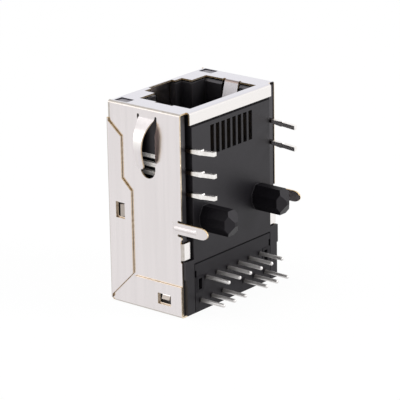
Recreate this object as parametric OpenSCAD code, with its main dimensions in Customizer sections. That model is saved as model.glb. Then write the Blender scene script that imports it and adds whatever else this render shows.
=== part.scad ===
// Shielded board jack for a network plug, with built-in magnetics.
// It stands on its rear face with the mouth up: +Z is the way out of the mouth,
// -Y is the side that seats on the circuit board, X runs along the width.
// The origin is the centre of the rear face. All sizes are in millimetres.

/* [Shield] */
// Width over the side walls of the front shield
shield_w = 17.7; // [17.5:0.1:19]
// Height of the side walls, from the board edge to the top
shield_h = 10.8; // [10.7:0.1:12]
// Depth from the rear face to the front face
shield_d = 24.8; // [24.4:0.1:28]
// Thickness of the shield sheet
sheet_t = 0.2; // [0.18:0.01:0.25]
// Outer radius of the shield's folds
bend_r = 0.35; // [0.3:0.01:0.45]
// Width of the lip folded over the board side
lip_w = 15.2; // [13:0.1:15.4]
// Length of the lip, measured back from the front face
lip_len = 1.5; // [1.2:0.1:1.8]
// How far the lip and the moulding stand out past the shield's board edge
proud = 0.5; // [0.4:0.05:0.6]
// Length of the front shield's fold along the top
top_strip_len = 6; // [4:0.5:9]

/* [Mouth] */
// Width of the mouth
mouth_w = 12.3; // [12.1:0.1:12.6]
// Height of the mouth's wide part
mouth_h = 7.65; // [7.3:0.05:7.8]
// Strip of front face between the mouth and the board edge
mouth_sill = 0.6; // [0.5:0.05:0.8]
// Width of the latch notch above the mouth
notch_w = 6.9; // [6.6:0.1:7.2]
// Height of the latch notch
notch_h = 1.55; // [1.3:0.05:1.6]
// Width of the small notch at the very top
nib_w = 4.3; // [3.6:0.1:5]
// Height of the small notch
nib_h = 0.5; // [0.3:0.05:0.6]

/* [Plug cavity] */
// Width of the plug cavity
cavity_w = 11.8; // [11.7:0.05:12]
// Depth of the plug cavity behind the front face
cavity_depth = 14; // [13:0.25:14.5]
// Pitch of the contacts
contact_pitch = 1.016; // [1:0.004:1.03]
// Width of a contact
contact_w = 0.4; // [0.3:0.05:0.45]
// Thickness of a contact
contact_t = 0.25; // [0.2:0.05:0.3]

/* [Board side] */
// Width of the raised face between the two lead channels
face_w = 14.5; // [14.2:0.1:14.6]
// Distance from the raised face to the tips of the pins
pin_reach = 3.6; // [3:0.1:4.2]
// Diameter of a signal pin
pin_d = 0.46; // [0.4:0.02:0.5]
// Pitch of the signal pins in a row
pin_pitch = 2.032; // [2:0.004:2.04]
// Height of the upper pin row above the rear face
upper_row_z = 4.25; // [4:0.05:4.5]
// Height of the lower pin row above the rear face
lower_row_z = 1.65; // [1.4:0.05:1.9]
// Distance between the centres of the two pegs
peg_span = 9.8; // [9.4:0.1:10.4]
// Height of the pegs above the rear face
peg_z = 11.55; // [11.4:0.05:12]
// Height of a peg's section
peg_h = 3.1; // [2.8:0.1:3.3]
// Width of a peg's section
peg_w = 2.4; // [2.2:0.1:2.8]
// Length of a peg, measured from the raised face
peg_len = 4.5; // [3.6:0.1:4.8]
// Length of a peg's pointed tip
peg_tip = 0.8; // [0.5:0.1:1]
// Height of the two shield tabs above the rear face
tab_z = 11; // [10.9:0.05:11.2]
// Width of a shield tab
tab_w = 1.35; // [1.2:0.05:1.5]
// Reach of a shield tab past the board edge
tab_len = 3.9; // [3.4:0.1:4.2]

/* [Indicator lamps] */
// Width of a lamp window
window_w = 1.35; // [1.2:0.05:1.4]
// Height of a lamp window
window_h = 1.95; // [1.7:0.05:2]
// Distance from the shield's side to the window
window_side = 0.42; // [0.4:0.01:0.5]
// Distance from the shield's top to the window
window_top = 0.62; // [0.6:0.01:0.7]
// Thickness of a lamp lead
lead_t = 0.5; // [0.4:0.05:0.55]
// Pitch of the lamp leads along the depth
lead_pitch = 2.65; // [2.5:0.05:2.7]
// Distance from the front face to the first lamp lead
lead_front = 4.5; // [4.4:0.1:4.7]
// How far a lead swells, above and below, where it grips the board's hole
swell = 0.06; // [0.02:0.01:0.1]
// How far a lead's tip leans off the straight line
lead_lean = 0.25; // [0:0.05:0.3]

/* [Side spring fingers] */
// Width of a finger at its root
finger_root = 2.35; // [2.2:0.05:2.6]
// Width of a finger at its tip
finger_tip = 1.1; // [0.9:0.05:1.3]
// How far a finger bulges out of the side
finger_bulge = 1.85; // [1.2:0.05:2]
// Distance from the front face to a finger's root
finger_front = 1.15; // [1:0.05:1.3]
// Length of a finger, root to tip
finger_len = 5.9; // [5.5:0.1:6.2]
// Height of a finger's centre line above the board edge
finger_y = 4.88; // [4.8:0.02:5]

/* [Mouth spring fingers] */
// Width of a grounding finger
ground_w = 2.05; // [1.8:0.05:2.2]
// Height of its centre line above the board edge
ground_y = 4.35; // [4.2:0.05:4.5]
// Length of its straight leg
ground_len = 2.8; // [2.4:0.1:3]
// Lean of its leg into the mouth, in degrees
ground_lean = 17; // [12:1:19]

/* [Rear shield] */
// Gap between the rear shield and the front shield
cover_gap = 0.05; // [0.04:0.01:0.1]
// Distance from the front face to the rear shield's top edge
cover_front = 2.15; // [2:0.05:2.6]
// Depth of its side flaps at their widest, down from the top
flap_h = 3.4; // [3.2:0.1:3.6]
// Height of the lower flaps above the rear face
foot_h = 3.85; // [3.7:0.05:4]

/* [Pin block] */
// Width of the pin block
block_w = 14.3; // [14.2:0.05:14.36]
// Height of the pin block's upper edge above the rear face
block_top = 6.35; // [6.2:0.05:6.5]

/* [Magnetics] */
// Thickness of the circuit board
pcb_t = 1; // [0.8:0.1:1.2]
// Height of the circuit board above the board edge
pcb_y = 3.4; // [3.3:0.05:3.6]
// Outer diameter of a transformer
transformer_d = 3.4; // [3:0.1:3.7]
// Outer diameter of a choke
choke_d = 2.8; // [2.4:0.1:3.1]

/* [Hidden] */

$fn = 48;

fit = 0.05;                              // clearance between pieces that fit together
over = 1;                                // how far a cutting shape runs past what it cuts

// Places on the shield. Heights named y are measured from the board edge.
wall_x = shield_w/2 - sheet_t;           // inner face of a side wall
front_z = shield_d - sheet_t;            // inner face of the front plate
wall_foot = sheet_t + 2*fit;             // rear end of the side walls
mouth_top = mouth_sill + mouth_h;
notch_top = mouth_top + notch_h;
plate_top = shield_h - bend_r;           // where the front plate turns into the top strip
window_x = shield_w/2 - window_side - window_w/2;
window_y = shield_h - window_top - window_h/2;

// Side spring finger, in the wall's plane
finger_z = shield_d - finger_front;      // root of the finger
finger_lap = 0.3;                        // how far the finger's sheet runs on into the wall
finger_slit = 0.3;                       // slit on each side of the root
finger_slit_rise = 0.14;                 // how far the slits run on above the root
finger_bay = finger_root - 0.1;          // width of the opening below the root
finger_bay_end = finger_z - finger_len - 0.35;

// Locking tabs that snap into the rear shield
tongue_y = shield_h - 1.7;               // upper lock: its centre
tongue_z = 11.65;
foot_tongue_y = 2.6;                     // lower lock: its centre
foot_tongue_z = 1.87;
lock_w = 1.36;                           // window across the lock's short side
lock_l = 2;                              // window along its long side
lock_rim = 0.15;                         // wall left between the lock's hole and the window's edge
lock_len = 0.5;                          // length of a locking tab, from its hinge
foot_tongue_w = 1.15;                    // width of the lower locking tab

// Fold-under tab, next to the shield tab
fold_z = 8.15;
fold_len = 2.05;
fold_reach = 1.3;
fold_proud = sheet_t;
relief = 0.3;                            // width of the relief slits beside the tabs

// Grounding finger in the mouth
ground_r = 0.32;                         // outer radius of its fold
ground_nick = ground_r + 0.02;           // depth of the relief nicks beside it

// Moulding
body_x = wall_x - fit;                   // half width of the moulding
body_top = shield_h - sheet_t - fit;
body_front = shield_d - bend_r;          // the moulding stops where the folds begin
body_rear = sheet_t + 2*fit;
face_top = shield_d - lip_len - 0.2;     // upper edge of the raised face
channel_w = lead_t + 2*fit;              // channel that each row of lamp leads lies in
lead_x = face_w/2 + channel_w/2;
cavity_floor = mouth_sill + 0.15;
cavity_top = mouth_top - 0.1;
cavity_end = shield_d - cavity_depth;
latch_w = notch_w - 0.3;
ear_top = fold_z - fold_len/2 - relief + 0.15;
room_x = wall_x - 0.85;                  // half width of the magnetics room
room_top = shield_h - 1;
room_front = cavity_end - 1.2;
slot_top = face_top - 0.6;               // contact slots in the raised face
slot_len = 3.6;
slot_w = 0.68;

// Lamps
lamp_back = shield_d - 3.6;
lamp_gap = 0.12;                         // gap round a lamp's nose in its window
lamp_recess = 0.12;                      // how far the nose lies below the front face

// Contacts
contact_y = 0.6;                         // centre of the run along the floor
contact_bend = 0.55;                     // radius of the bend at the front
contact_turn = slot_top - 0.75;          // centre of that bend
contact_rise = 17;                       // slope of the sprung arm, in degrees
contact_arm = 7;
carrier_len = 2.2;
carrier_z = cavity_end - carrier_len;
carrier_w = 11;
carrier_h = 2.3;
contact_leg_z = carrier_z + 0.4;         // rear leg, which stands on the circuit board

// Pin block
block_back = 2.4;
key_x = 6.23;                            // small square hole near each end of the block
key_z = 3.7;
key_w = 0.6;
key_h = 1.35;
frame_t = 0.3;                           // raised frame round that hole
frame_proud = 0.06;

// Toroids: a ring of wound core lying flat on the circuit board
core_y = pcb_y + pcb_t;
transformer_h = 2.2;
choke_h = 1.8;
coil_pitch = (room_x - 2*fit)/2;         // four in a row fill the room's width
coil_margin = (room_front - body_rear - transformer_d - choke_d)/3;
transformer_z = body_rear + coil_margin + transformer_d/2;
choke_z = body_rear + 2*coil_margin + transformer_d + choke_d/2;

// Chip parts, in a row between the pins and the contacts
chip_z = contact_leg_z - 1.55;
resistor_size = [1.6, 0.45, 0.8];
capacitor_size = [3.2, 0.8, 1.3];
resistor_pitch = resistor_size[0] + 0.3;

tin = "#dcdadb";
plastic = "#2a292c";
brass = "#c9a24a";

// Moves a shape drawn with y measured from the board edge into the part's frame
module on_seat() {
    translate([0, -shield_h/2, 0]) children();
}

// The shape and its mirror image on the other side
module both_sides() {
    children();
    mirror([1, 0, 0]) children();
}

// A drawing of (y, z) points, made into a plate that runs from x0 to x1
module plate_x(x0, x1) {
    translate([x0, 0, 0]) rotate([90, 0, 90]) linear_extrude(x1 - x0) children();
}

// A drawing of (x, z) points, made into a plate that runs from y0 to y1
module plate_y(y0, y1) {
    translate([0, y1, 0]) rotate([90, 0, 0]) linear_extrude(y1 - y0) children();
}

// A rectangle given by its two corners
module rect(x0, y0, x1, y1) {
    translate([x0, y0]) square([x1 - x0, y1 - y0]);
}

// A box given by its two corners
module box(p, q) {
    translate(p) cube(q - p);
}

// The stretch of a ring between two angles under 180 degrees apart, centred on the origin
module arc(r, t, a0, a1) {
    far = 3*r;
    mid = (a0 + a1)/2;
    intersection() {
        difference() {
            circle(r);
            circle(r - t);
        }
        polygon([
            [0, 0],
            far*[cos(a0), sin(a0)],
            far*[cos(mid), sin(mid)],
            far*[cos(a1), sin(a1)]
        ]);
    }
}

// ---------- Front shield ----------

// Outline of the mouth on the front plate
module mouth_outline() {
    rect(-mouth_w/2, mouth_sill, mouth_w/2, mouth_top);
    rect(-notch_w/2, mouth_top - over, notch_w/2, notch_top);
    rect(-nib_w/2, notch_top - over, nib_w/2, notch_top + nib_h);
    // Relief nicks at both ends of each grounding finger's root
    for (s = [-1, 1], e = [-1, 1])
        translate([s*mouth_w/2, ground_y + e*(ground_w + relief)/2])
            square([2*ground_nick, relief], center = true);
}

module window_outline(grow = 0) {
    translate([window_x, window_y])
        square([window_w + 2*grow, window_h + 2*grow], center = true);
}

// Front plate, up to where its folds begin
module front_plate() {
    translate([0, 0, front_z])
        linear_extrude(sheet_t)
            difference() {
                union() {
                    rect(-shield_w/2 + bend_r, 0, shield_w/2 - bend_r, plate_top);
                    rect(-lip_w/2, bend_r - proud, lip_w/2, mouth_sill);
                }
                rect(-lip_w/2, -over, lip_w/2, bend_r - proud);
                mouth_outline();
                both_sides() {
                    window_outline();
                    rect(mouth_w/2 - over, ground_y - ground_w/2,
                         mouth_w/2 + ground_r, ground_y + ground_w/2);
                }
            }
}

// Fold and strip along the top edge
module top_strip() {
    fold_x = shield_w/2 - bend_r;
    plate_x(-fold_x, fold_x)
        translate([plate_top, shield_d - bend_r])
            arc(bend_r, sheet_t, 0, 90);
    box([-wall_x + fit, shield_h - sheet_t, shield_d - top_strip_len],
        [wall_x - fit, shield_h, shield_d - bend_r]);
}

// Lip folded down over the board side
module lip() {
    plate_x(-lip_w/2, lip_w/2) {
        translate([bend_r - proud, shield_d - bend_r])
            arc(bend_r, sheet_t, 90, 180);
        rect(-proud, shield_d - lip_len, sheet_t - proud, shield_d - bend_r);
    }
}

// Opening round the side spring finger, drawn as (y, z)
module finger_opening() {
    side = finger_bay/2;
    wide = finger_root/2 + finger_slit;
    translate([finger_y, 0]) {
        translate([0, finger_bay_end]) circle(side);
        polygon([
            [-side, finger_bay_end],
            [side, finger_bay_end],
            [side, finger_z - 2.1],
            [wide, finger_z - 0.7],
            [wide, finger_z],
            [-wide, finger_z],
            [-wide, finger_z - 0.7],
            [-side, finger_z - 2.1]
        ]);
        for (s = [-1, 1])
            translate([s*(wide - finger_slit/2), finger_z]) {
                translate([0, finger_slit_rise]) circle(finger_slit/2);
                square([finger_slit, 2*finger_slit_rise], center = true);
            }
    }
}

// Cuts beside the shield tab and the fold-under tab, drawn as (y, z)
module tab_relief() {
    fold_bottom = fold_z - fold_len/2;
    tab_bottom = tab_z - tab_w/2;
    rect(-over, tab_z + tab_w/2, 0.42, tab_z + tab_w/2 + relief);
    translate([0.42, tab_z + tab_w/2 + relief/2]) circle(relief/2);
    rect(-over, fold_bottom - relief, bend_r - fold_proud, tab_bottom);
    rect(0, tab_bottom - relief, 0.42, tab_bottom);
    translate([0.42, tab_bottom - relief/2]) circle(relief/2);
}

// Rounded nub left between the two tabs, drawn as (y, z)
module nub() {
    nub_z0 = fold_z + fold_len/2 + relief;
    nub_z1 = tab_z - tab_w/2 - relief;
    nub_r = (nub_z1 - nub_z0)/2;
    translate([nub_r, nub_z0 + nub_r]) circle(nub_r);
    rect(nub_r, nub_z0, bend_r, nub_z1);
}

// Outline of the board tab with its rounded tip, drawn as (y, z)
module board_tab_outline() {
    tip = 1;
    steps = 8;
    rise = [for (i = [0:steps]) 90*(1 - 2*i/steps)];
    polygon(concat(
        [[over, tab_z + tab_w/2]],
        [for (a = rise) [tip - tab_len - tip*cos(a), tab_z + tab_w/2*sin(a)]],
        [[over, tab_z - tab_w/2]]
    ));
}

// Holes behind the two locking tabs, drawn as (y, z)
module lock_holes() {
    rect(tongue_y - lock_w/2 + lock_rim, tongue_z - lock_l/2 + lock_rim,
         tongue_y + lock_w/2 - lock_rim, tongue_z + lock_l/2 - lock_rim);
    rect(foot_tongue_y - lock_l/2 + lock_rim, foot_tongue_z - lock_w/2 + lock_rim,
         foot_tongue_y + lock_l/2 - lock_rim, foot_tongue_z + lock_w/2 - lock_rim);
}

// One side wall, with the fold that joins it to the front plate
module side_wall() {
    plate_x(wall_x, shield_w/2)
        difference() {
            union() {
                difference() {
                    rect(0, wall_foot, shield_h, shield_d - bend_r);
                    tab_relief();
                    rect(-over, fold_z - fold_len/2, bend_r - fold_proud, fold_z + fold_len/2);
                }
                nub();
                board_tab_outline();
            }
            finger_opening();
            lock_holes();
        }
    plate_y(0, shield_h)
        translate([shield_w/2 - bend_r, shield_d - bend_r])
            arc(bend_r, sheet_t, 0, 90);
}

// Tab folded under the moulding, which locks it in the shield
module fold_under() {
    translate([0, 0, fold_z - fold_len/2])
        linear_extrude(fold_len) {
            translate([shield_w/2 - bend_r, bend_r - fold_proud])
                arc(bend_r, sheet_t, 270, 360);
            rect(shield_w/2 - fold_reach, -fold_proud, shield_w/2 - bend_r, sheet_t - fold_proud);
        }
}

// Stiffening rib pressed out of the board tab
module rib(r, x) {
    y0 = 1.85 - tab_len;
    y1 = 0.95;
    translate([x, y0, tab_z]) sphere(r);
    translate([x, y0, tab_z]) rotate([-90, 0, 0]) cylinder(r = r, h = y1 - y0);
    translate([x, y1, tab_z]) sphere(r);
}
rib_r = 0.28;
rib_out = 0.17;                          // how far the rib stands out of the tab

// Side view of the spring finger, extruded wider than it needs to be: it rises steeply from its
// root and then bows. Its x is measured outwards from the wall's outer face, its z from the root.
module finger_sheet(wide) {
    crest = 3.2;                         // how far the crest of the bow lies below the root
    reach = finger_len + 0.3;
    steps = 30;
    droop = 0.3;                         // share of the bulge lost again at the tip
    // Outer face at a depth below the root
    function bow(d) = d < crest
        ? finger_bulge*(1 - pow(1 - d/crest, 2.3))
        : finger_bulge*(1 - droop*pow((d - crest)/(finger_len - crest), 2));
    function slope(d) = (bow(d + 0.01) - bow(d))/0.01;
    function outward(d) = [1, slope(d)]/sqrt(1 + pow(slope(d), 2));
    depths = [for (i = [0:steps]) reach*pow(i/steps, 1.3)];
    plate_y(-wide, wide)
        polygon(concat(
            [[-sheet_t, finger_lap], [-sheet_t, 0]],
            [for (d = depths) [bow(d), -d] - sheet_t*outward(d)],
            [for (i = [steps:-1:0]) [bow(depths[i]), -depths[i]]],
            [[0, finger_lap]]
        ));
}

// Front view of the spring finger as (y, z), which sets its taper
module finger_face() {
    root = finger_root/2;
    tip = finger_tip/2;
    low = tip - finger_len;
    // Half outline from the root to the tip's rounding
    side = [
        [root, over],
        [root, -0.2],
        [0.75*root + 0.25*tip, -0.5],
        [0.45*root + 0.55*tip, -1.1],
        [0.2*root + 0.8*tip, -2],
        [tip, -3.4],
        [tip, low]
    ];
    polygon(concat([for (p = side) [-p[0], p[1]]], [for (i = [len(side) - 1:-1:0]) side[i]]));
    translate([0, low]) circle(tip);
}

module spring_finger() {
    translate([shield_w/2, finger_y, finger_z])
        intersection() {
            finger_sheet(finger_root);
            plate_x(-2*sheet_t, finger_bulge + over) finger_face();
        }
}

// Grounding finger, folded into the mouth from its side edge: fold, leg and curled end.
// Its side view is drawn round the fold's centre, and its steps of 8 degrees are exact faces.
module ground_finger() {
    fold_end = 180 - ground_lean;
    curl_r = 0.9;
    curl = 45;
    steps = 6;
    leg = ground_len*[-sin(ground_lean), -cos(ground_lean)];
    curl_centre = leg + (ground_r - curl_r)*[cos(fold_end), sin(fold_end)];
    // One edge of the sheet, at a depth below its outer face
    function sheet_edge(depth) = concat(
        [for (i = [0:steps]) let (a = 90 + (fold_end - 90)*i/steps) (ground_r - depth)*[cos(a), sin(a)]],
        [for (i = [0:steps])
            let (a = fold_end + curl*i/steps) curl_centre + (curl_r - depth)*[cos(a), sin(a)]]
    );
    inner = sheet_edge(sheet_t);
    translate([mouth_w/2 + ground_r, 0, shield_d - ground_r])
        plate_y(ground_y - ground_w/2, ground_y + ground_w/2)
            polygon(concat(sheet_edge(0), [for (i = [len(inner) - 1:-1:0]) inner[i]]));
}

// Tab that snaps into a window of the rear shield: a flap hinged at v = 0 that rises
// over its length, drawn as (x outwards, v) from the wall's inner face
module lock_flap_side(len) {
    rise = sheet_t + cover_gap;
    polygon([[0, -0.02], [sheet_t, -0.02], [rise + sheet_t, len], [rise, len]]);
}
lock_play = 0.12;                        // gap between the flap and the sides of its hole

module lock_flaps() {
    hole_w = lock_w - 2*lock_rim;
    hole_l = lock_l - 2*lock_rim;
    foot_y0 = foot_tongue_y - hole_l/2 + lock_play;
    // Upper flap: hinged on its board side
    translate([wall_x, tongue_y - hole_w/2, tongue_z - hole_l/2 + lock_play])
        linear_extrude(hole_l - 2*lock_play) lock_flap_side(lock_len);
    // Lower flap: hinged on its upper side and set towards the board
    translate([wall_x, 0, foot_tongue_z + hole_w/2])
        mirror([0, 0, 1])
            plate_y(foot_y0, foot_y0 + foot_tongue_w) lock_flap_side(lock_len);
}

module front_shield() {
    color(tin) on_seat() {
        difference() {
            union() {
                front_plate();
                top_strip();
                lip();
                both_sides() {
                    side_wall();
                    rib(rib_r, shield_w/2 + rib_out - rib_r);
                }
            }
            both_sides() {
                rib(rib_r - 0.02, wall_x + rib_out - rib_r);
                // The lamp windows run on into the folds beside them
                translate([0, 0, shield_d - bend_r - over])
                    linear_extrude(bend_r + 2*over) window_outline();
            }
        }
        both_sides() {
            fold_under();
            spring_finger();
            ground_finger();
            lock_flaps();
        }
    }
}

// ---------- Rear shield ----------

cover_in = shield_w/2 + cover_gap;       // inner face of its side flaps
cover_out = cover_in + sheet_t;
cover_low = shield_h + cover_gap;        // inner face of its top plate
cover_top = cover_low + sheet_t;
miter = 0.15;                            // gap along the corner between two flaps
waist_top = 1.9;                         // its narrower stretch, measured down from the top edge
waist_end = 7;
waist_slope = 1.35;                      // length of the slope below that stretch

// Side flaps folded down from the top plate, drawn as (y, z)
module upper_flap_outline() {
    low = shield_h - flap_h;
    step = low + 1.4;
    top = shield_d - cover_front;
    polygon([
        [cover_top, top],
        [step, top - waist_top],
        [step, top - waist_end],
        [low, top - waist_end - waist_slope],
        [low, foot_h + miter + 0.1],
        [cover_top, miter + foot_h - (cover_top - low) + 0.1]
    ]);
}

// Side flaps folded up from the rear plate, drawn as (y, z)
module lower_flap_outline() {
    low = shield_h - flap_h;
    corner = low - 0.25;
    polygon([
        [0, 0],
        [corner + foot_h, 0],
        [corner, foot_h],
        [0, foot_h]
    ]);
}

module cover_windows() {
    rect(tongue_y - lock_w/2, tongue_z - lock_l/2,
         tongue_y + lock_w/2, tongue_z + lock_l/2);
    rect(foot_tongue_y - lock_l/2, foot_tongue_z - lock_w/2,
         foot_tongue_y + lock_l/2, foot_tongue_z + lock_w/2);
}

module rear_shield() {
    fold_x = cover_out - bend_r;
    top_z = shield_d - cover_front;
    color(tin) on_seat() {
        // Top plate and rear plate, joined by a fold along the rear edge
        box([-fold_x, cover_low, bend_r], [fold_x, cover_top, top_z]);
        box([-fold_x, 0, 0], [fold_x, cover_top - bend_r, sheet_t]);
        plate_x(-fold_x, fold_x)
            translate([cover_top - bend_r, bend_r])
                arc(bend_r, sheet_t, 270, 360);
        both_sides() {
            plate_x(cover_in, cover_out)
                difference() {
                    union() {
                        intersection() {
                            upper_flap_outline();
                            rect(-over, bend_r, cover_top - bend_r, top_z);
                        }
                        intersection() {
                            lower_flap_outline();
                            rect(-over, bend_r, cover_top, foot_h);
                        }
                    }
                    cover_windows();
                }
            // Folds along the top edge and the rear edge
            translate([0, 0, bend_r])
                linear_extrude(top_z - bend_r)
                    translate([fold_x, cover_top - bend_r])
                        arc(bend_r, sheet_t, 0, 90);
            plate_y(0, cover_top - 2*bend_r)
                translate([fold_x, bend_r])
                    arc(bend_r, sheet_t, 270, 360);
        }
    }
}

// ---------- Housing ----------

// Locating peg: a prism of eight sides with a pointed tip
module peg() {
    cut_x = 0.27*peg_w;
    cut_z = 0.33*peg_h;
    root = proud;
    tip = peg_tip;
    flat = 0.25;
    translate([peg_span/2, -proud, peg_z])
        intersection() {
            plate_y(-peg_len, root)
                polygon([
                    for (s = [[1, 1], [-1, 1], [-1, -1], [1, -1]])
                        for (k = (s[0]*s[1] > 0) ? [0, 1] : [1, 0])
                            [s[0]*(peg_w/2 - k*cut_x), s[1]*(peg_h/2 - (1 - k)*cut_z)]
                ]);
            plate_x(-peg_w, peg_w)
                polygon([
                    [root, -peg_h/2],
                    [tip - peg_len, -peg_h/2],
                    [-peg_len, -flat],
                    [-peg_len, flat],
                    [tip - peg_len, peg_h/2],
                    [root, peg_h/2]
                ]);
            translate([0, 0, -peg_h])
                linear_extrude(2*peg_h)
                    polygon([
                        [-peg_w/2, root],
                        [-peg_w/2, tip - peg_len],
                        [-flat, -peg_len],
                        [flat, -peg_len],
                        [peg_w/2, tip - peg_len],
                        [peg_w/2, root]
                    ]);
        }
}

// Solid outline of the moulding, before its rooms are cut
module housing_block() {
    rail_y = fit;
    box([-body_x, rail_y, body_rear], [body_x, body_top, body_front]);
    // Raised face, and the thinner part of it under the lip
    box([-face_w/2, -proud, body_rear], [face_w/2, rail_y + over, face_top]);
    box([-face_w/2, sheet_t - proud + fit, face_top - over], [face_w/2, rail_y + over, body_front]);
    // Ears beside the pin block
    ear_step = 0.45*ear_top + 1.6;
    both_sides() {
        box([face_w/2 - over, -proud, body_rear], [body_x - 0.1, rail_y + over, ear_top]);
        box([face_w/2 - over, -proud, ear_step], [body_x + 0.1, -fit, ear_top]);
    }
}

// Plug cavity with its latch channel
module plug_cavity() {
    up = body_front + over;
    lead_in = 0.3;
    box([-cavity_w/2, cavity_floor, cavity_end], [cavity_w/2, cavity_top, up]);
    box([-latch_w/2, cavity_top - over, cavity_end + 2], [latch_w/2, notch_top - 0.1, up]);
    box([-nib_w/2, notch_top - over, cavity_end + 7], [nib_w/2, body_top + over, up]);
    // Chamfered rim
    both_sides()
        plate_y(cavity_floor, cavity_top)
            polygon([
                [cavity_w/2 - over, body_front + over],
                [cavity_w/2 - over, body_front - lead_in],
                [cavity_w/2, body_front - lead_in],
                [cavity_w/2 + lead_in, body_front],
                [cavity_w/2 + lead_in, body_front + over]
            ]);
}

// Grooves that guide the contacts, and the slots that show on the raised face
module contact_ways() {
    way_w = contact_w + 0.16;
    for (i = [0:7]) {
        x = (i - 3.5)*contact_pitch;
        box([x - way_w/2, contact_y - contact_t/2 - fit, cavity_end - over],
            [x + way_w/2, cavity_floor + over, slot_top]);
        box([x - slot_w/2, -proud - over, slot_top - slot_len],
            [x + slot_w/2, cavity_floor + over, slot_top]);
    }
}

// Room for the circuit board and the coils, open to the rear
module magnetics_room() {
    wide = block_w/2 + fit;
    box([-room_x, block_back + fit, body_rear - over], [room_x, room_top, room_front]);
    box([-wide, -proud - over, body_rear - over], [wide, room_top, block_top + 2*fit]);
    box([-wide, cavity_floor + 0.2, body_rear - over], [wide, room_top, room_front]);
}

// Pocket for the contact carrier
module carrier_pocket() {
    box([-carrier_w/2 - fit, contact_y - 0.4 - fit, carrier_z - fit],
        [carrier_w/2 + fit, contact_y + carrier_h + fit, cavity_end + over]);
}

// Pocket for a lamp, and the channel that its leads run down to the board
module lamp_way() {
    x0 = window_x - window_w/2 - 0.2;
    last_lead = shield_d - lead_front - 2*lead_pitch;
    box([x0, window_y - window_h/2 - 0.2, lamp_back - fit],
        [body_x + over, body_top + over, body_front + over]);
    box([lead_x - channel_w/2, -proud - over, last_lead - lead_t],
        [lead_x + channel_w/2, window_y + window_h/2, lamp_back + over]);
    // Open groove on the board side, over the whole height of the rail
    box([lead_x - channel_w/2, -over, fold_z + fold_len/2 + relief],
        [lead_x + channel_w/2, 0.8, body_front + over]);
}

// Room for the side spring finger and the folded tabs
module shield_ways() {
    pocket_y0 = finger_y - finger_root/2 - 0.5;
    pocket_y1 = finger_y + finger_root/2 + 0.5;
    pocket_x = wall_x - 0.75;
    pocket_z = finger_bay_end - finger_bay/2 - 0.3;
    box([pocket_x, pocket_y0, pocket_z], [body_x + over, pocket_y1, finger_z + 0.3]);
    box([lead_x, pocket_y0, pocket_z], [body_x + over, pocket_y1, finger_bay_end + 1.6]);
    // Behind the shield tab and the fold-under tab
    box([shield_w/2 - fold_reach - 2*fit, -over, fold_z - fold_len/2 - fit],
        [body_x + over, sheet_t, fold_z + fold_len/2 + fit]);
    box([wall_x - 0.35, -over, tab_z - tab_w/2], [body_x + over, 1.5, tab_z + tab_w/2]);
    // Relief behind the grounding finger
    box([cavity_w/2 - over, ground_y - ground_w/2 - 0.3, shield_d - ground_len - 2],
        [cavity_w/2 + 0.75, ground_y + ground_w/2 + 0.3, body_front + over]);
}

module housing() {
    color(plastic) on_seat() {
        difference() {
            housing_block();
            plug_cavity();
            contact_ways();
            magnetics_room();
            carrier_pocket();
            both_sides() {
                lamp_way();
                shield_ways();
            }
        }
        both_sides() peg();
    }
}

// ---------- Contacts and their carrier ----------

// Side view of a contact as (y, z): rear leg, run along the floor, bend and sprung arm
module contact_side() {
    t = contact_t;
    leg_r = 0.4;
    run_z = contact_leg_z - t/2 + leg_r;
    floor_y = contact_y - t/2;
    turn_y = floor_y + contact_bend;
    rect(floor_y + leg_r, contact_leg_z - t/2, pcb_y, contact_leg_z + t/2);
    translate([floor_y + leg_r, run_z]) arc(leg_r, t, 180, 270);
    rect(floor_y, run_z, floor_y + t, contact_turn);
    translate([turn_y, contact_turn]) {
        arc(contact_bend, t, 60, 180);
        arc(contact_bend, t, contact_rise, 90);
        rotate(contact_rise) rect(contact_bend - t, -contact_arm, contact_bend, 0);
    }
}

module contact(i) {
    x = (i - 4.5)*contact_pitch;
    color(brass) on_seat() plate_x(x - contact_w/2, x + contact_w/2) contact_side();
}

// Insulator that holds the rear of the contacts and closes the cavity's end
module contact_carrier() {
    way = contact_w/2 + 0.02;
    color("#1f2022") on_seat()
        difference() {
            box([-carrier_w/2, contact_y - 0.4, carrier_z],
                [carrier_w/2, contact_y + carrier_h, cavity_end]);
            for (i = [1:8]) {
                x = (i - 4.5)*contact_pitch;
                plate_x(x - way, x + way) {
                    rect(contact_y - contact_t/2 - 0.02, contact_leg_z - contact_t/2 - 0.02,
                         contact_y + contact_t/2 + 0.02, cavity_end + over);
                    rect(contact_y - contact_t/2 - 0.02, contact_leg_z - contact_t/2 - 0.02,
                         contact_y + carrier_h + over, contact_leg_z + contact_t/2 + 0.35);
                }
            }
        }
}

// ---------- Pin block and pins ----------

// Places of the twelve pins as [x, z]: a row of six over two groups of three
pin_places = concat(
    [for (i = [0:5]) [(i - 2.5)*pin_pitch, upper_row_z]],
    [for (i = [0:6]) if (i != 3) [(i - 3)*pin_pitch, lower_row_z]]
);
pin_tip = -proud - pin_reach;
pin_play = 0.01;                         // gap round a pin's shank in its hole
shank_w = pin_d + 0.14;                  // square shank, held by the block and the circuit board
shank_y = -proud - 0.06;                 // where the shank ends, just clear of the block

module pin_holes() {
    hole_w = shank_w + 2*pin_play;
    for (p = pin_places)
        translate([p[0], 0, p[1]]) cube([hole_w, 20, hole_w], center = true);
}

module pin_block() {
    face_y = -proud;
    color("#252428") on_seat()
        difference() {
            union() {
                box([-block_w/2, face_y, body_rear], [block_w/2, block_back, block_top]);
                both_sides()
                    translate([key_x, face_y, key_z])
                        cube([key_w + 2*frame_t, 2*frame_proud, key_h + 2*frame_t], center = true);
            }
            both_sides() {
                translate([key_x, face_y, key_z]) cube([key_w, 2.4, key_h], center = true);
                // Keying nick in the block's side
                box([block_w/2 - 0.3, face_y - over, key_z + 0.95],
                    [block_w/2 + over, face_y + 0.8, key_z + 1.8]);
            }
            pin_holes();
        }
}

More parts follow.
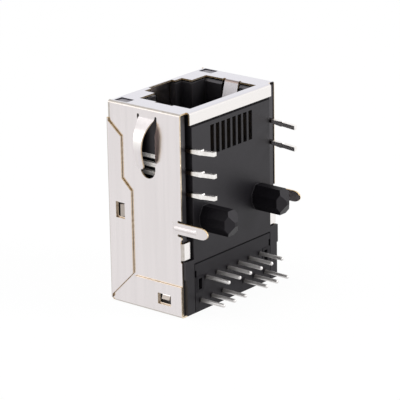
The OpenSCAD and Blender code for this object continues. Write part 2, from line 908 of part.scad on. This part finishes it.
// A pin has a rounded tip and ends flush with the far side of the circuit board
module signal_pin(i) {
    p = pin_places[i - 1];
    round_r = pin_d/2;
    top = pcb_y + pcb_t;
    color("#b9b6b4") on_seat()
        translate([p[0], 0, p[1]]) {
            translate([0, pin_tip + round_r, 0]) sphere(round_r);
            translate([0, shank_y + over, 0])
                rotate([90, 0, 0]) cylinder(d = pin_d, h = shank_y + over - pin_tip - round_r);
            box([-shank_w/2, shank_y, -shank_w/2], [shank_w/2, top, shank_w/2]);
        }
}

// ---------- Magnetics ----------

module circuit_board() {
    color("#2f6b3c") on_seat()
        difference() {
            box([-room_x + 2*fit, pcb_y, body_rear + 0.3],
                [room_x - 2*fit, pcb_y + pcb_t, room_front - 2*fit]);
            pin_holes();
        }
}

// Wound ring lying on the circuit board, with its hole along Y
module toroid(d, h, x, z, col) {
    bore = 0.3*d;
    wire = 0.35;                         // rounding that the windings give the section
    color(col) on_seat()
        translate([x, core_y + h, z])
            rotate([90, 0, 0])
                rotate_extrude() {
                    rect(bore/2 + wire, 0, d/2 - wire, h);
                    rect(bore/2, wire, d/2, h - wire);
                    for (px = [bore/2 + wire, d/2 - wire])
                        for (py = [wire, h - wire])
                            translate([px, py]) circle(wire, $fn = 24);
                }
}

module transformer(i) {
    toroid(transformer_d, transformer_h, (i - 2.5)*coil_pitch, transformer_z, "#9c4a2c");
}

module choke(i) {
    toroid(choke_d, choke_h, (i - 2.5)*coil_pitch, choke_z, "#a8632f");
}

// Chip parts on the board side of the circuit board
module chip(x, z, size, col) {
    color(col) on_seat()
        box([x - size[0]/2, pcb_y - size[1], z - size[2]/2], [x + size[0]/2, pcb_y, z + size[2]/2]);
}

module resistor(i) {
    chip((i < 3 ? i - 4.1 : i - 0.9)*resistor_pitch, chip_z, resistor_size, "#1b1b1d");
}

module capacitor() {
    chip(0, chip_z, capacitor_size, "#b08a5a");
}

// ---------- Lamps ----------

// Clear body behind the front plate, with a nose that fills the window
module lamp() {
    color("#a5a2a8") on_seat() {
        box([window_x - window_w/2 - 0.12, window_y - window_h/2 - 0.12, lamp_back],
            [wall_x - 2*fit, window_y + window_h/2 + 0.12, body_front]);
        box([window_x - window_w/2 + lamp_gap, window_y - window_h/2 + lamp_gap, body_front - over],
            [window_x + window_w/2 - lamp_gap, window_y + window_h/2 - lamp_gap, shield_d - lamp_recess]);
    }
}

// Side view of a lamp lead as (y, z). Lead k leaves the lamp's back, runs towards the board, fans
// out to its place there and ends in a leg with a pressed swelling; dir sets which way it leans.
module lead_side(k, dir) {
    h = lead_t/2;
    exit_z = shield_d - lead_front - (k - 1)*lead_pitch;
    run_z = exit_z + 0.6*(k - 2)*lead_pitch;
    start_y = window_y + (k - 2)*(lead_t + 0.12);
    fan_y = 3.3;                         // the leads fan out between these two heights
    turn_y = 1.2;
    root_y = -proud;
    neck = 0.8*h;                        // half thickness at the root
    grip_y = root_y - 1.6;               // the swelling
    barb = 0.05;                         // burr left above it by the press
    tip_y = pin_tip - 0.05;
    function leg_z(y) = exit_z + dir*lead_lean*(root_y - y)/(root_y - tip_y);
    polygon([
        [start_y - h, lamp_back],
        [start_y - h, run_z + h],
        [fan_y, run_z + h],
        [turn_y, exit_z + h],
        [root_y, exit_z + neck],
        [grip_y, leg_z(grip_y) + h + swell],
        [grip_y - 0.2, leg_z(grip_y) + h + swell + barb],
        [grip_y - 0.25, leg_z(grip_y) + h],
        [tip_y, leg_z(tip_y) + h],
        [tip_y, leg_z(tip_y) - h],
        [grip_y - 0.3, leg_z(grip_y) - h],
        [grip_y, leg_z(grip_y) - h - swell],
        [root_y, exit_z - neck],
        [turn_y, exit_z - h],
        [fan_y, run_z - h],
        [start_y + h, run_z - h],
        [start_y + h, lamp_back]
    ]);
}

module lamp_lead(k, dir) {
    color("#c9c7c6") on_seat() plate_x(lead_x - lead_t/2, lead_x + lead_t/2) lead_side(k, dir);
}

front_shield();
rear_shield();
housing();
contact_carrier();
pin_block();
circuit_board();
for (i = [1:8])
    contact(i);
for (i = [1:12])
    signal_pin(i);
for (i = [1:4]) {
    transformer(i);
    choke(i);
    resistor(i);
}
capacitor();
mirror([1, 0, 0]) lamp();  // lamp_left
lamp();  // lamp_right
for (k = [1:3])
    mirror([1, 0, 0]) lamp_lead(k, 1);
for (k = [1:2])
    lamp_lead(k, -1);
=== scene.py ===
import math

import bpy
from mathutils import Matrix, Vector


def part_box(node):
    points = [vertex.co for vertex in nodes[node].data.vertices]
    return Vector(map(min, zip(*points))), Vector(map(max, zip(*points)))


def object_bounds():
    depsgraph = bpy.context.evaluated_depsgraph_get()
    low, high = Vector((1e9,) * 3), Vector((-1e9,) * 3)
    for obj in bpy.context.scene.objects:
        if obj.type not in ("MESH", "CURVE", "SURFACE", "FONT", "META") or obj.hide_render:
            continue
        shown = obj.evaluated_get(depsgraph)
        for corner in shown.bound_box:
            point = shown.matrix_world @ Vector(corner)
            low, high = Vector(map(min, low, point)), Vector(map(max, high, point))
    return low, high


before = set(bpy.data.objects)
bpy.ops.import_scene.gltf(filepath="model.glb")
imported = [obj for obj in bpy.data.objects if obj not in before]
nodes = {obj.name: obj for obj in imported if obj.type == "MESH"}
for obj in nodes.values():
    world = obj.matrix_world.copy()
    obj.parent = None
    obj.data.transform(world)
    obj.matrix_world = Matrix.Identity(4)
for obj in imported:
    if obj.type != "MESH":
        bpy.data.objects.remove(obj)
cad_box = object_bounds()
MM = 0.001

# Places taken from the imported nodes, in millimetres
front_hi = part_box("front_shield")[1] * 1000
rear_lo, rear_hi = [v * 1000 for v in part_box("rear_shield")]
SEAT = rear_lo.y                    # board edge of the shield, from which materials count heights
TOP = front_hi.z                    # front face
BLOCK_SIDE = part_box("pin_block")[1].x * 1000
BLOCK_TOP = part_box("pin_block")[1].z * 1000

# Places on the shields that their material tells apart. A side is a distance from the middle, a depth
# is z from the rear face, and a height is y from SEAT.
WALL = 8.85                         # side of the front shield's walls, outer face
FOLD = 0.35                         # outer radius of the folds
CUT_FACING = 0.4                    # a face turned further than this from the sheet's own is a cut
LIP_SIDE = 7.61                     # side at which the lip over the board side ends
LIP_REAR = 23.0                     # depth at which it ends
UNDER_DEPTH = (7.0, 9.3)            # the fold-under tab
UNDER_SIDE = 7.0
UNDER_DROP = 0.25
GROUND_HEIGHT = (3.2, 5.5)          # the grounding fingers in the mouth
GROUND_SIDE = 6.6
GROUND_BEND = 6.49                  # side at which their bend from the front face begins
SPRING_REAR = 14.0                  # depth between the lock tabs and the spring fingers
LOCK_LOW = 1.5                      # height of the lowest lock tab
WINDOW_HEIGHT = (8.0, 10.4)         # the lamp windows in the front face
WINDOW_SIDE = 6.9
TAB_DEPTH = (10.2, 11.8)            # the ribbed board tab
TAB_HIGH = 1.4
FAR_EDGE = (8.0, 8.78)              # x of the far wall's edge, which lies in shade

# Places on the mouldings
FACE_TOP = TOP - 1.7                # depth of the upper edge of the moulding's face
STEP_SIDE = 7.75                    # side of the steps by the shield's walls
PEG_LOW = -0.55                     # height under which only the pegs lie
MOUTH_SIDE = 6.1                    # the mouth
MOUTH_HEIGHT = (0.6, 10.2)
MOUTH_REAR = 8.0
JOINT = 0.07                        # half the width of the joint round the pin block


# ---------- Shader helpers ----------

class Value:
    """A socket with arithmetic, so that a mask reads like a formula."""

    def __init__(self, tree, socket):
        self.tree, self.socket = tree, socket

    def math(self, op, *others, clamp=False):
        node = self.tree.nodes.new("ShaderNodeMath")
        node.operation = op
        node.use_clamp = clamp
        for i, v in enumerate((self,) + others):
            if isinstance(v, Value):
                self.tree.links.new(v.socket, node.inputs[i])
            else:
                node.inputs[i].default_value = v
        return Value(self.tree, node.outputs[0])

    def __add__(self, o): return self.math("ADD", o)
    def __sub__(self, o): return self.math("SUBTRACT", o)
    def __mul__(self, o): return self.math("MULTIPLY", o)
    def __gt__(self, o): return self.math("GREATER_THAN", o)
    def __lt__(self, o): return self.math("LESS_THAN", o)
    def over(self, o): return self.math("MAXIMUM", o)
    def under(self, o): return self.math("MINIMUM", o)
    def abs(self): return self.math("ABSOLUTE")
    def flip(self): return self * -1.0 + 1.0
    def within(self, limits): return (self > limits[0]) * (self < limits[1])

    def ramp(self, lo, hi, a=0.0, b=1.0):
        """Goes from a to b as the value goes from lo to hi."""
        node = self.tree.nodes.new("ShaderNodeMapRange")
        self.tree.links.new(self.socket, node.inputs[0])
        for i, v in enumerate((lo, hi, a, b)):
            node.inputs[i + 1].default_value = v
        return Value(self.tree, node.outputs[0])


class Material:
    """A principled material with the usual procedural sources at hand. Lengths are in millimetres."""

    def __init__(self, name, **sockets):
        self.mat = bpy.data.materials.new(name)
        self.mat.use_nodes = True
        self.tree = self.mat.node_tree
        self.bsdf = self.tree.nodes["Principled BSDF"]
        for key, v in sockets.items():
            self.bsdf.inputs[key.replace("_", " ")].default_value = v
        geometry = self.tree.nodes.new("ShaderNodeNewGeometry")
        split = self.tree.nodes.new("ShaderNodeSeparateXYZ")
        self.position = geometry.outputs["Position"]
        self.tree.links.new(self.position, split.inputs[0])
        self.x, self.y, self.z = [Value(self.tree, s) * 1000.0 for s in split.outputs]
        self.y = self.y - SEAT
        self.ax = self.x.abs()
        facing = self.tree.nodes.new("ShaderNodeSeparateXYZ")
        self.tree.links.new(geometry.outputs["True Normal"], facing.inputs[0])
        self.nx, self.ny, self.nz = [Value(self.tree, s) for s in facing.outputs]

    def noise(self, scale, detail=3.0, stretch=(1, 1, 1), rough=0.5):
        """Noise with features about 1/scale millimetres wide, stretched along the axes."""
        mapping = self.tree.nodes.new("ShaderNodeMapping")
        mapping.inputs["Scale"].default_value = [1000.0 * scale / s for s in stretch]
        self.tree.links.new(self.position, mapping.inputs["Vector"])
        node = self.tree.nodes.new("ShaderNodeTexNoise")
        node.inputs["Scale"].default_value = 1.0
        node.inputs["Detail"].default_value = detail
        node.inputs["Roughness"].default_value = rough
        self.tree.links.new(mapping.outputs[0], node.inputs["Vector"])
        return Value(self.tree, node.outputs[0])

    def mix(self, mask, a, b):
        """Colour a where the mask is 0, and b where it is 1. Each is a colour or a socket."""
        node = self.tree.nodes.new("ShaderNodeMix")
        node.data_type = "RGBA"
        self.tree.links.new(mask.socket, node.inputs["Factor"])
        for socket, v in ((node.inputs[6], a), (node.inputs[7], b)):
            if isinstance(v, tuple):
                socket.default_value = (*v, 1.0)
            else:
                self.tree.links.new(v, socket)
        return node.outputs[2]

    def set(self, socket, value):
        source = value.socket if isinstance(value, Value) else value
        self.tree.links.new(source, self.bsdf.inputs[socket])
        return self

    def bump(self, height, depth, rounding=0.0):
        """Bump of a height in millimetres. Rounding softens the edges of the solid under it."""
        node = self.tree.nodes.new("ShaderNodeBump")
        node.inputs["Distance"].default_value = depth * MM
        node.inputs["Strength"].default_value = 1.0
        self.tree.links.new(height.socket, node.inputs["Height"])
        if rounding:
            bevel = self.tree.nodes.new("ShaderNodeBevel")
            bevel.samples = 6
            bevel.inputs["Radius"].default_value = rounding * MM
            self.tree.links.new(bevel.outputs[0], node.inputs["Normal"])
        self.tree.links.new(node.outputs[0], self.bsdf.inputs["Normal"])
        return self

    def give(self, *names):
        for n in names:
            nodes[n].data.materials.clear()
            nodes[n].data.materials.append(self.mat)
        return self


# ---------- Colours ----------

TIN = (0.772, 0.728, 0.728)
TIN_STREAK = (0.742, 0.7, 0.7)
TIN_PAINTED_COOL_REFLECTION = (0.74, 0.725, 0.78)
TIN_PAINTED_HIGHLIGHT = (0.9, 0.87, 0.85)
TIN_INNER_PAINTED_SHADE = (0.6, 0.55, 0.56)
TIN_DEEP_PAINTED_SHADE = (0.24, 0.19, 0.175)
TIN_PRESSED = (0.45, 0.4, 0.36)
TIN_GREY = (0.54, 0.52, 0.54)
TIN_WORN_AND_PAINTED_SHADE = (0.5, 0.46, 0.42)
BRASS = (0.7, 0.54, 0.33)
BRASS_DARK = (0.42, 0.29, 0.14)
BRASS_SMEAR_AND_HIGHLIGHT = (0.84, 0.72, 0.56)
SHADE = (0.02, 0.016, 0.014)
WINDOW_PAINTED_SHADE = (0.2, 0.19, 0.21)
PLASTIC = (0.0045, 0.004, 0.0052)


# ---------- Shields ----------

def sheet_masks(m, side, top, rear):
    """Two masks over a folded sheet. The first is 1 on its cut edges and 0 on its faces: the sheet lies
    near the faces of a box with round folds, so a face whose normal lies across the sheet's own normal
    there is a cut edge. The second is 1 along the middle of each fold."""
    dx = (m.ax - (side - FOLD)).over(0.0)
    dy = (m.y - (top - FOLD)).over(0.0)
    if rear:
        dz = (m.z * -1.0 + FOLD).over(0.0)
    else:
        dz = (m.z - (TOP - FOLD)).over(0.0)
        lip = (m.ax < LIP_SIDE) * (m.z > LIP_REAR)
        under = m.z.within(UNDER_DEPTH) * (m.ax > UNDER_SIDE)
        dy = dy + (m.y * -1.0).over(0.0) * lip + (m.y * -1.0 + UNDER_DROP).over(0.0) * under
    fold = dx.under(dz).over(dx.under(dy)).over(dy.under(dz))
    if not rear:
        fold = fold * lip.flip()
    # Where no fold is near, the walls' direction is taken, and nothing is divided by 0
    dx = dx + 0.001
    length = (dx * dx + dy * dy + dz * dz).math("SQRT")
    facing = (m.nx.abs() * dx + m.ny.abs() * dy + m.nz.abs() * dz).math("DIVIDE", length)
    cut = facing < CUT_FACING
    if not rear:
        # The grounding fingers are bent about Y, so only their sides and ends are cut
        ground = (m.ax < GROUND_BEND) * (m.z < TOP - 0.04) * m.y.within(GROUND_HEIGHT)
        cut = cut * ground.flip() + (m.ny.abs() > 0.8) * ground
    return cut, fold.ramp(0.12 * FOLD, 0.35 * FOLD)


class Worked:
    """Masks of the front shield's parts that were bent by the tool, which rubbed them."""

    def __init__(self, m):
        self.lock = (m.ax > WALL + 0.03) * (m.z < SPRING_REAR) * (m.y > LOCK_LOW)
        self.spring = (m.ax > WALL + 0.08) * (m.z > SPRING_REAR)
        self.ground = (m.ax < GROUND_SIDE) * (m.z < TOP - 0.3) * m.y.within(GROUND_HEIGHT)
        self.tab = (m.ax > WALL - 0.5) * m.z.within(TAB_DEPTH) * (m.y < TAB_HIGH)


def sheet_faces(m, fold, worked):
    """The tin has a painted cool reflection on the front plate, a painted highlight on the board side
    and the spring fingers, painted shade on its inner faces, and along the folds it is worn and
    darkened by painted shade."""
    streak = m.noise(1.5, 3.0, stretch=(1, 1, 30))
    plate = m.mix(streak.ramp(0.4, 0.65), TIN, TIN_STREAK)
    # Painted reflection: the front plate's upward faces take a cooler cast
    plate = m.mix((m.nz > 0.8) * (m.z > TOP - 0.5), plate, TIN_PAINTED_COOL_REFLECTION)
    # Painted highlight on the faces turned towards the board side
    plate = m.mix(m.ny.ramp(-0.9, -0.5, 1.0, 0.0) * (m.y < 0.0), plate, TIN_PAINTED_HIGHLIGHT)
    if worked:
        # Painted highlight: a band across the spring fingers is brightened
        worked_zone = m.z.ramp(20.0, 21.0) * m.z.ramp(21.8, 22.6, 1.0, 0.0)
        plate = m.mix(worked.spring * worked_zone, plate, TIN_PAINTED_HIGHLIGHT)
    # Painted shade on the inner faces, darkest deep inside the shield
    inner_painted_shade = m.mix((m.y > 2.5) * (m.z > 14.0), TIN_INNER_PAINTED_SHADE, TIN_DEEP_PAINTED_SHADE)
    outwards = m.nx * m.x.math("SIGN")
    plate = m.mix(outwards.ramp(-0.6, -0.3, 1.0, 0.0), plate, inner_painted_shade)
    if worked:
        plate = m.mix(worked.lock, plate, TIN_PRESSED)
        plate = m.mix(worked.ground, plate, TIN_GREY)
    # Along the folds the tin is worn, and darkened there as painted shade
    wear = m.noise(2.0, 3.0).ramp(0.3, 0.6, 0.7, 1.0)
    return m.mix(fold * wear, plate, TIN_WORN_AND_PAINTED_SHADE)


def sheet_edges(m, rear):
    """Bare metal shows on the cut, with tin smeared over part of it by the punch. Edges on the board
    side, and on the rear shield upward edges near its rear face, are paler with smeared tin and a
    painted highlight. The lamp windows' edges carry painted shade, and so does the far wall's edge."""
    smear = m.noise(3.5, 3.0).ramp(0.42, 0.62)
    edge = m.mix(smear, BRASS, BRASS_DARK)
    # Edges facing the board side, and on the rear shield upward edges near its rear face, are paler:
    # smeared tin and a painted highlight
    smear_and_lit_edge = m.ny < -0.8
    if rear:
        smear_and_lit_edge = smear_and_lit_edge.over((m.nz > 0.8) * (m.z < 5.0))
    edge = m.mix(smear_and_lit_edge * smear.ramp(0.0, 1.0, 0.9, 0.5), edge, BRASS_SMEAR_AND_HIGHLIGHT)
    if rear:
        return edge
    # Painted shade on the lamp windows' cut edges
    window_shade = (m.z > TOP - 0.4) * (m.ax > WINDOW_SIDE) * m.y.within(WINDOW_HEIGHT)
    edge = m.mix(window_shade, edge, WINDOW_PAINTED_SHADE)
    far_edge = m.x.within(FAR_EDGE) * (m.y < 0.1) * (m.ny < -0.8)
    return m.mix(far_edge, edge, SHADE)


def sheet_material(name, side, top, rear=False):
    m = Material(name, Metallic=1.0)
    cut, fold = sheet_masks(m, side, top, rear)
    worked = None if rear else Worked(m)
    m.set("Base Color", m.mix(cut, sheet_faces(m, fold, worked), sheet_edges(m, rear)))
    grain = m.noise(12.0, 4.0, stretch=(1, 1, 9))
    cloud = m.noise(0.25, 2.0)
    rough = grain.ramp(0.3, 0.7, 0.13, 0.18) + cloud.ramp(0.3, 0.7, 0.0, 0.03) + cut * 0.2
    if worked:
        worked_zone = worked.lock.over(worked.ground).over(worked.tab).over(worked.spring * 0.55)
        rough = rough + worked_zone * 0.3
    m.set("Roughness", rough)
    m.bump(grain, 0.0003)
    return m


sheet_material("front_tin", WALL, front_hi.y - SEAT).give("front_shield")
sheet_material("rear_tin", rear_hi.x, rear_hi.y - SEAT, rear=True).give("rear_shield")


# ---------- Mouldings ----------

def plastic_shine(m, gloss):
    """Specular level of a moulding, varied over it to paint sheen and shade."""
    # Less shiny lower down: painted shade, darker towards the bottom
    shine = m.z.ramp(3.0, 22.0, 0.62 * gloss, gloss)
    # The sides and the steps by the shield's walls are made shinier: painted sheen that lightens them
    step = (m.ny < -0.6) * (m.y > -0.45) * (m.ax > STEP_SIDE)
    side = m.nx.abs().ramp(0.6, 0.9).over(step)
    shine = shine * (side * (m.y < 2.5) * 0.8 + 1.0)
    # The pegs are made less shiny, their sides far more than their tips: painted shade that darkens
    # them
    peg = m.y < PEG_LOW
    shine = shine * (peg * (m.ny > -0.3) * -0.85 + 1.0) * (peg * (m.ny < -0.3) * -0.3 + 1.0)
    # The mouth is shinier at its rim and duller with depth: painted sheen at the rim, painted shade in
    # its depth
    mouth = (m.ax < MOUTH_SIDE) * m.y.within(MOUTH_HEIGHT) * (m.z > MOUTH_REAR)
    shine = shine * (mouth * (m.z.ramp(TOP - 6.0, TOP - 0.6, 0.15, 1.7) - 1.0) + 1.0)
    # The joint round the pin block and the step under the lip are shaded
    joint = ((m.ax - BLOCK_SIDE).abs() < JOINT) * (m.z < BLOCK_TOP + JOINT)
    joint = joint.over(((m.z - BLOCK_TOP).abs() < JOINT) * (m.ax < BLOCK_SIDE + JOINT))
    joint = joint.over(m.z > FACE_TOP - 0.1)
    front = (m.ny < -0.8) * (m.y < -0.3)
    return shine * (front * joint * -0.9 + 1.0)


def plastic_material(name, color, rough, rounding, gloss=0.5):
    m = Material(name, Specular_Tint=(0.98, 0.94, 1.0, 1.0))
    texture = m.noise(14.0, 5.0, rough=0.6)
    flow = m.noise(0.5, 2.0)
    light = tuple(c * 1.5 for c in color)
    m.set("Base Color", m.mix(flow.ramp(0.35, 0.7), color, light))
    m.set("Roughness", texture.ramp(0.3, 0.7, rough - 0.05, rough + 0.08))
    m.set("Specular IOR Level", plastic_shine(m, gloss))
    m.bump(texture, 0.004, rounding)
    return m


plastic_material("housing_black", PLASTIC, 0.42, 0.08).give("housing")
plastic_material("block_black", PLASTIC, 0.5, 0.04, 0.42).give("pin_block")
plastic_material("carrier_black", PLASTIC, 0.5, 0.03).give("contact_carrier")


# ---------- Contacts, pins, leads and lamps ----------

gold = Material("contact_gold", Metallic=1.0)
wear = gold.noise(2.5, 3.0)
gold.set("Base Color", gold.mix(wear.ramp(0.4, 0.65), (0.72, 0.5, 0.18), (0.5, 0.36, 0.15)))
gold.set("Roughness", wear.ramp(0.3, 0.7, 0.2, 0.35))
gold.give(*["contact_%d" % i for i in range(1, 9)])

# The pins are tinned; painted shade darkens them towards the block, and where they meet its face they
# are painted as dark as the block
pin = Material("pin_tin", Metallic=0.8)
dull = pin.noise(3.0, 3.0)
painted_root_shade = pin.y.ramp(-2.2, -0.6)
shaft = pin.mix(painted_root_shade, (0.72, 0.7, 0.69), (0.34, 0.32, 0.31))
pin.set("Base Color", pin.mix(pin.y > -0.62, shaft, (0.035, 0.032, 0.034)))
pin.set("Roughness", dull.ramp(0.3, 0.7, 0.34, 0.5))
pin.bump(dull, 0.004)
pin.give(*["signal_pin_%d" % i for i in range(1, 13)])

# The leads are bright where they were dipped in solder; from there to the wall's edge a painted shadow
# darkens them
lead = Material("lead_tin")
dull = lead.noise(2.0, 3.0)
painted_neck_shadow = lead.y.ramp(-0.95, -0.65) * (lead.y < 3.0)
solder = lead.mix(dull.ramp(0.4, 0.7), (0.95, 0.93, 0.91), (0.82, 0.79, 0.76))
lead.set("Base Color", lead.mix(painted_neck_shadow, solder, (0.05, 0.035, 0.028)))
lead.set("Roughness", dull.ramp(0.3, 0.7, 0.22, 0.36))
lead.set("Metallic", (lead.y > 3.0).ramp(0.0, 1.0, 1.0, 0.3))
lead.bump(dull, 0.003)
lead.give(*[n for n in nodes if n.startswith("lamp_") and "lead" in n])

lens = Material("lamp_clear", Metallic=0.0, Roughness=0.3, Specular_IOR_Level=0.6)
haze = lens.noise(1.2, 3.0)
lens.set("Base Color", lens.mix(haze.ramp(0.3, 0.7), (0.125, 0.118, 0.134), (0.16, 0.15, 0.172)))
lens.bump(haze, 0.01, 0.08)
lens.give("lamp_left", "lamp_right")


# ---------- Circuit board and what it carries ----------

board = Material("board_green", Roughness=0.35)
weave = board.noise(4.0, 2.0)
board.set("Base Color", board.mix(weave, (0.02, 0.12, 0.04), (0.03, 0.16, 0.06)))
board.bump(weave, 0.005)
board.give("circuit_board")

winding = Material("winding_copper", Metallic=0.7, Roughness=0.35)
turns = winding.noise(5.0, 2.0, stretch=(1, 4, 1))
winding.set("Base Color", winding.mix(turns.ramp(0.35, 0.65), (0.5, 0.16, 0.05), (0.2, 0.06, 0.02)))
winding.bump(turns, 0.08)
winding.give(*[n for n in nodes if n.startswith(("transformer", "choke"))])

chip = Material("chip_black", Roughness=0.4)
speck = chip.noise(6.0, 2.0)
chip.set("Base Color", chip.mix(speck, (0.012, 0.012, 0.012), (0.03, 0.03, 0.03)))
chip.bump(speck, 0.004, 0.03)
chip.give(*["resistor_%d" % i for i in range(1, 5)])

ceramic = Material("chip_ceramic", Roughness=0.5)
speck = ceramic.noise(6.0, 2.0)
ceramic.set("Base Color", ceramic.mix(speck, (0.3, 0.18, 0.09), (0.42, 0.27, 0.15)))
ceramic.bump(speck, 0.004, 0.05)
ceramic.give("capacitor")


# ---------- Floor, light and camera ----------

FLOOR_SIZE = 6.0
FLOOR_GAP = 0.00002


def seen_rays(tree):
    """1 for a ray that ends in the picture: from the camera, off a gloss or through glass."""
    rays = tree.nodes.new("ShaderNodeLightPath")
    seen = Value(tree, rays.outputs["Is Camera Ray"]).over(Value(tree, rays.outputs["Is Glossy Ray"]))
    return seen.over(Value(tree, rays.outputs["Is Transmission Ray"]))


def plane(name, size, z):
    mesh = bpy.data.meshes.new(name)
    h = size / 2
    mesh.from_pydata([(-h, -h, z), (h, -h, z), (h, h, z), (-h, h, z)], [], [(0, 1, 2, 3)])
    obj = bpy.data.objects.new(name, mesh)
    bpy.context.scene.collection.objects.link(obj)
    return obj


def floor_material():
    """Matte white that keeps the object's shadow, with a glow that whitens it in the picture."""
    white = bpy.data.materials.new("floor_white")
    white.use_nodes = True
    tree = white.node_tree
    tree.nodes.clear()
    out = tree.nodes.new("ShaderNodeOutputMaterial")
    mixer = tree.nodes.new("ShaderNodeMixShader")
    matte = tree.nodes.new("ShaderNodeBsdfDiffuse")
    matte.inputs["Color"].default_value = (0.9, 0.9, 0.9, 1)
    glow = tree.nodes.new("ShaderNodeEmission")
    part = seen_rays(tree) * 0.95
    tree.links.new(part.socket, mixer.inputs[0])
    tree.links.new(matte.outputs[0], mixer.inputs[1])
    tree.links.new(glow.outputs[0], mixer.inputs[2])
    tree.links.new(mixer.outputs[0], out.inputs[0])
    return white


floor = plane("floor", FLOOR_SIZE, cad_box[0].z - FLOOR_GAP)
floor.data.materials.append(floor_material())

world = bpy.data.worlds.new("studio")
bpy.context.scene.world = world
world.use_nodes = True
tree = world.node_tree
background = tree.nodes["Background"]
background.inputs["Color"].default_value = (1, 1, 1, 1)
tree.links.new(seen_rays(tree).ramp(0.0, 1.0, 0.55, 1.0).socket, background.inputs["Strength"])


def softbox(name, place, size, power, target=(0, 0, 0.012)):
    lamp = bpy.data.lights.new(name, "AREA")
    lamp.size = size
    lamp.energy = power
    obj = bpy.data.objects.new(name, lamp)
    obj.location = place
    obj.rotation_euler = (Vector(target) - Vector(place)).to_track_quat("-Z", "Y").to_euler()
    bpy.context.scene.collection.objects.link(obj)
    return obj


softbox("key", (0.25, -0.5, 0.35), 0.25, 2.2)
softbox("top", (-0.1, 0.1, 0.6), 0.3, 1.5)
softbox("left", (-0.42, 0.36, 0.22), 0.3, 0.34)

# The camera stands off the middle of the jack, turned by an azimuth, an elevation and a small roll
AZIMUTH, ELEVATION, ROLL = [math.radians(a) for a in (-50.07, 18.03, -1.113)]
AIM = Vector((0, 6.5 + SEAT, 12.7)) * MM
DISTANCE = 0.3038
SENSOR = 36
LENS = 228.906
SHIFT = (0.033675, -0.03445)        # parts of the picture's width

back = Vector((math.sin(AZIMUTH) * math.cos(ELEVATION), -math.cos(AZIMUTH) * math.cos(ELEVATION),
               math.sin(ELEVATION)))
level = Vector((math.cos(AZIMUTH), math.sin(AZIMUTH), 0))
upright = back.cross(level)
right = math.cos(ROLL) * level + math.sin(ROLL) * upright
up = math.cos(ROLL) * upright - math.sin(ROLL) * level
eye = AIM + back * DISTANCE

camera = bpy.data.cameras.new("camera")
camera.sensor_width = SENSOR
camera.lens = LENS
camera.shift_x, camera.shift_y = SHIFT
camera.clip_start, camera.clip_end = 0.01, 20
view = bpy.data.objects.new("camera", camera)
view.matrix_world = Matrix((
    (right.x, up.x, back.x, eye.x),
    (right.y, up.y, back.y, eye.y),
    (right.z, up.z, back.z, eye.z),
    (0, 0, 0, 1),
))
bpy.context.scene.collection.objects.link(view)
bpy.context.scene.camera = view
bpy.context.scene.view_settings.view_transform = "Standard"
